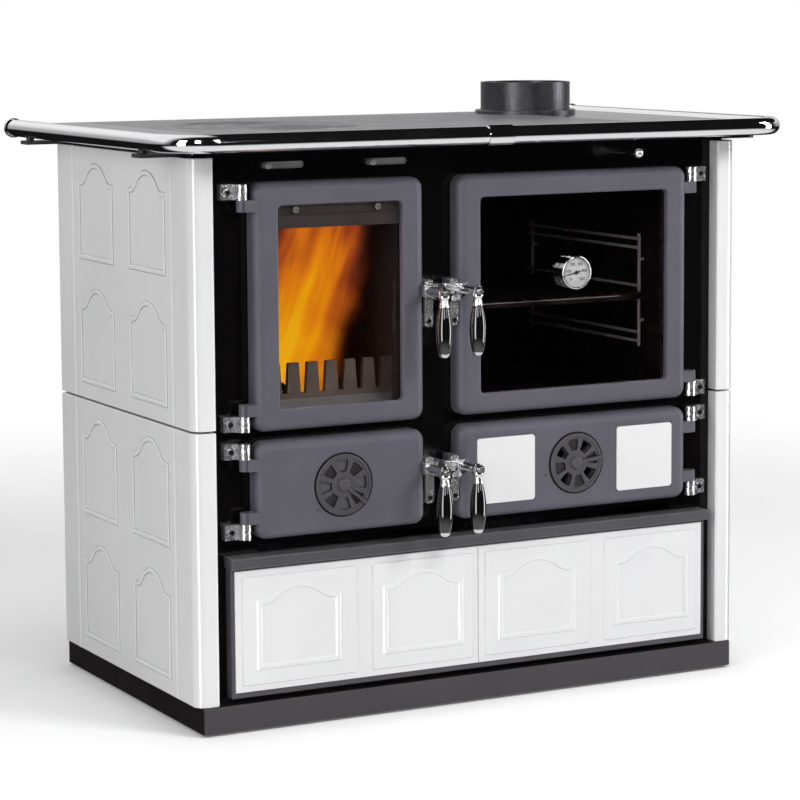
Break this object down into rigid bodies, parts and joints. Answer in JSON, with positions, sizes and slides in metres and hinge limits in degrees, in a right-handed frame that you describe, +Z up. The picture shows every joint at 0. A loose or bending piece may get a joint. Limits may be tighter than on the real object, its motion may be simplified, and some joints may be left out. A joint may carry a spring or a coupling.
{
  "type": "wood cookstove",
  "caption": "Wood-burning range cooker with glazed firebox and oven doors, cast hob plate with lift-out rings, air controls, towel rail and log drawer.",
  "frame": {"origin": "centre of the footprint's bounding box, on the floor", "axes": "+X to the right seen from the front, +Y to the back, +Z up; the doors face -Y"},
  "size_m": [1.036, 0.661, 0.902],
  "materials": {
    "foot_steel": "zinc plated",
    "plinth_paint": "satin dark grey",
    "carcass_black": "satin black",
    "white_enamel": "glossy white enamel",
    "front_black": "glossy black enamel",
    "sill_black": "satin dark grey",
    "seal_rope": "woven glass-fibre rope",
    "hinge_chrome": "polished",
    "hob_frame_black": "glossy black enamel",
    "hob_iron": "ground and blackened",
    "flue_iron": "satin black",
    "rail_chrome": "polished",
    "fire_lining": "sooty",
    "grate_iron": "raw cast",
    "guard_steel": "heat stained",
    "inner_enamel": "glossy black enamel",
    "pan_steel": "galvanised",
    "rack_chrome": "bright wire",
    "shelf_enamel": "dark enamel",
    "runner_steel": "satin black",
    "door_iron": "matt anthracite paint",
    "clear_glass": "clear ceramic",
    "clamp_steel": "satin black",
    "grip_black": "glossy black",
    "oven_glass": "lightly tinted",
    "case_chrome": "polished",
    "dial_white": "printed white dial",
    "register_iron": "matt black",
    "tile_white": "glossy white enamel",
    "drawer_black": "satin black",
    "slider_steel": "brushed"
  },
  "bodies": {
    "stove": {"levelling_feet": "foot_steel", "plinth": "plinth_paint", "side_panels": "carcass_black", "back_panel": "carcass_black", "left_cladding": "white_enamel", "right_cladding": "white_enamel", "front_frame": "front_black", "front_sill": "sill_black", "door_seals": "seal_rope", "hinges": "hinge_chrome", "latch_keepers": "hinge_chrome", "top_frame": "hob_frame_black", "hob_plate": "hob_iron", "flue_collar": "flue_iron", "rear_hooks": "rail_chrome", "rail_tubes": "rail_chrome", "rail_fittings": "rail_chrome", "rail_brackets": "rail_chrome", "firebox_liner": "fire_lining", "firebox_grate": "grate_iron", "log_guard": "guard_steel", "lower_boxes": "inner_enamel", "ash_pan": "pan_steel", "oven_box": "inner_enamel", "oven_side_racks": "rack_chrome", "oven_shelf": "shelf_enamel", "drawer_runners": "runner_steel"},
    "firebox_door": {"firebox_door": "door_iron", "firebox_glass": "clear_glass", "glass_clamp": "clamp_steel", "firebox_latch_bracket": "hinge_chrome"},
    "firebox_lever": {"firebox_lever": "hinge_chrome", "firebox_grip": "grip_black"},
    "oven_door": {"oven_door": "door_iron", "oven_glass": "oven_glass", "thermometer_case": "case_chrome", "thermometer_dial": "dial_white", "oven_latch_bracket": "hinge_chrome"},
    "oven_lever": {"oven_lever": "hinge_chrome", "oven_grip": "grip_black"},
    "ash_door": {"ash_door": "door_iron", "ash_latch_bracket": "hinge_chrome"},
    "ash_lever": {"ash_lever": "hinge_chrome", "ash_grip": "grip_black"},
    "ash_register": {"ash_register": "register_iron"},
    "lower_door": {"lower_door": "door_iron", "door_tiles": "tile_white", "lower_latch_bracket": "hinge_chrome"},
    "lower_lever": {"lower_lever": "hinge_chrome", "lower_grip": "grip_black"},
    "lower_register": {"lower_register": "register_iron"},
    "wood_drawer": {"drawer_front": "drawer_black", "drawer_tiles": "white_enamel", "drawer_box": "runner_steel"},
    "hob_ring": {"hob_ring": "hob_iron"},
    "hob_disc": {"hob_disc": "hob_iron"},
    "primary_air_slider": {"primary_air_slider": "slider_steel"},
    "secondary_air_slider": {"secondary_air_slider": "slider_steel"},
    "bypass_rod": {"bypass_rod": "rail_chrome"}
  },
  "joints": [
    {"name": "firebox_door_hinge", "type": "hinge", "parent": "stove", "child": "firebox_door", "pos_m": [-0.375, -0.2475, 0.6065], "axis": [0, 0, -1], "range_deg": [0, 110]},
    {"name": "oven_door_hinge", "type": "hinge", "parent": "stove", "child": "oven_door", "pos_m": [0.375, -0.2475, 0.6065], "axis": [0, 0, 1], "range_deg": [0, 110]},
    {"name": "ash_door_hinge", "type": "hinge", "parent": "stove", "child": "ash_door", "pos_m": [-0.375, -0.2475, 0.346], "axis": [0, 0, -1], "range_deg": [0, 110]},
    {"name": "lower_door_hinge", "type": "hinge", "parent": "stove", "child": "lower_door", "pos_m": [0.375, -0.2475, 0.346], "axis": [0, 0, 1], "range_deg": [0, 110]},
    {"name": "firebox_lever_turn", "type": "hinge", "parent": "firebox_door", "child": "firebox_lever", "pos_m": [-0.0905, -0.2955, 0.619], "axis": [0, 1, 0], "range_deg": [0, 60]},
    {"name": "oven_lever_turn", "type": "hinge", "parent": "oven_door", "child": "oven_lever", "pos_m": [-0.0355, -0.2955, 0.619], "axis": [0, -1, 0], "range_deg": [0, 60]},
    {"name": "ash_lever_turn", "type": "hinge", "parent": "ash_door", "child": "ash_lever", "pos_m": [-0.0905, -0.2955, 0.36], "axis": [0, 1, 0], "range_deg": [0, 60]},
    {"name": "lower_lever_turn", "type": "hinge", "parent": "lower_door", "child": "lower_lever", "pos_m": [-0.0355, -0.2955, 0.36], "axis": [0, -1, 0], "range_deg": [0, 60]},
    {"name": "ash_register_turn", "type": "hinge", "parent": "ash_door", "child": "ash_register", "pos_m": [-0.226, -0.2635, 0.346], "axis": [0, -1, 0], "range_deg": [0, 45]},
    {"name": "lower_register_turn", "type": "hinge", "parent": "lower_door", "child": "lower_register", "pos_m": [0.163, -0.2635, 0.346], "axis": [0, -1, 0], "range_deg": [0, 45]},
    {"name": "wood_drawer_slide", "type": "slide", "parent": "stove", "child": "wood_drawer", "axis": [0, -1, 0], "range_m": [0, 0.38]},
    {"name": "hob_ring_lift", "type": "slide", "parent": "stove", "child": "hob_ring", "axis": [0, 0, 1], "range_m": [0, 0.08]},
    {"name": "hob_disc_lift", "type": "slide", "parent": "hob_ring", "child": "hob_disc", "axis": [0, 0, 1], "range_m": [0, 0.06]},
    {"name": "primary_air_slide", "type": "slide", "parent": "stove", "child": "primary_air_slider", "axis": [1, 0, 0], "range_m": [0, 0.056]},
    {"name": "secondary_air_slide", "type": "slide", "parent": "stove", "child": "secondary_air_slider", "axis": [1, 0, 0], "range_m": [0, 0.056]},
    {"name": "bypass_slide", "type": "slide", "parent": "stove", "child": "bypass_rod", "axis": [0, -1, 0], "range_m": [0, 0.06]}
  ]
}
